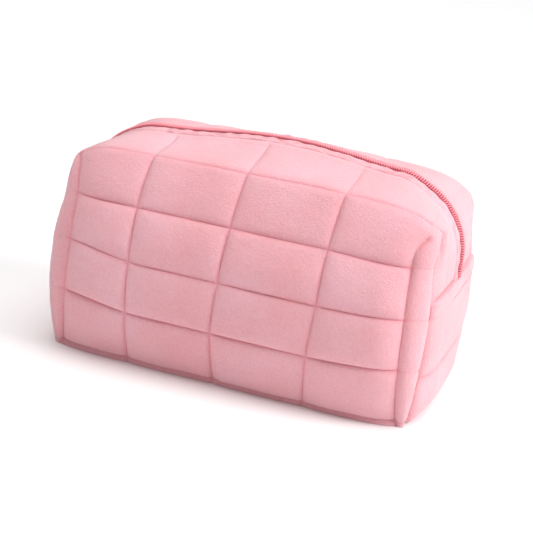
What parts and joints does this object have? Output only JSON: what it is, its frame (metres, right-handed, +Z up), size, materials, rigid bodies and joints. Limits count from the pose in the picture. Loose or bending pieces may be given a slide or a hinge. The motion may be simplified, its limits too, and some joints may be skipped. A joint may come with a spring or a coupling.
{
  "type": "makeup bag",
  "caption": "Box-shaped quilted velvet pouch with a zip over the top and halfway down both ends; both halves of the mouth fold back.",
  "frame": {"origin": "on the surface the bag stands on, under the middle of the bag", "axes": "+X along the bag's length, towards the end the picture shows; +Y from the front to the back; +Z up"},
  "size_m": [0.2267, 0.1464, 0.1281],
  "materials": {
    "velvet": "quilted velvet, matt with a soft sheen",
    "band": "plain folded velvet, topstitched",
    "facing": "gathered velvet edge beside the zip",
    "batting": "soft polyester batting",
    "lining": "smooth woven lining",
    "zip_tape": "woven tape",
    "zip_coil": "nylon coil",
    "zip_metal": "satin enamel"
  },
  "bodies": {
    "base": {"lower_front_panel": "velvet", "lower_rear_panel": "velvet", "base_panel": "velvet", "end_panel_left": "velvet", "end_panel_right": "velvet", "end_band_left": "band", "end_band_right": "band", "lower_front_batting": "batting", "lower_rear_batting": "batting", "base_batting": "batting", "end_batting_left": "batting", "end_batting_right": "batting", "lower_lining": "lining"},
    "front_half": {"upper_front_panel": "velvet", "front_top_strip": "velvet", "front_gusset_left": "velvet", "front_gusset_right": "velvet", "front_zip_facing": "facing", "front_zip_tape": "zip_tape", "front_zip_coil": "zip_coil", "front_wall_batting": "batting", "front_top_batting": "batting", "front_wall_lining": "lining", "front_top_lining": "lining"},
    "rear_half": {"upper_rear_panel": "velvet", "rear_top_strip": "velvet", "rear_gusset_left": "velvet", "rear_gusset_right": "velvet", "rear_zip_facing": "facing", "rear_zip_tape": "zip_tape", "rear_zip_coil": "zip_coil", "rear_wall_batting": "batting", "rear_top_batting": "batting", "rear_wall_lining": "lining", "rear_top_lining": "lining"},
    "slider": {"zip_slider": "zip_metal"},
    "pull": {"zip_pull": "zip_metal"}
  },
  "joints": [
    {"name": "front_fold", "type": "hinge", "parent": "base", "child": "front_half", "pos_m": [0, -0.0723, 0.063], "axis": [1, 0, 0], "range_deg": [0, 30]},
    {"name": "rear_fold", "type": "hinge", "parent": "base", "child": "rear_half", "pos_m": [0, 0.0723, 0.063], "axis": [-1, 0, 0], "range_deg": [0, 30]},
    {"name": "slider_turn", "type": "hinge", "parent": "front_half", "child": "slider", "pos_m": [-0.0684, 0, 0.0816], "axis": [0, 1, 0], "range_deg": [0, 90]},
    {"name": "pull_swing", "type": "hinge", "parent": "slider", "child": "pull", "pos_m": [-0.11325, 0, 0.0816], "axis": [0, 1, 0], "range_deg": [0, 165]}
  ]
}
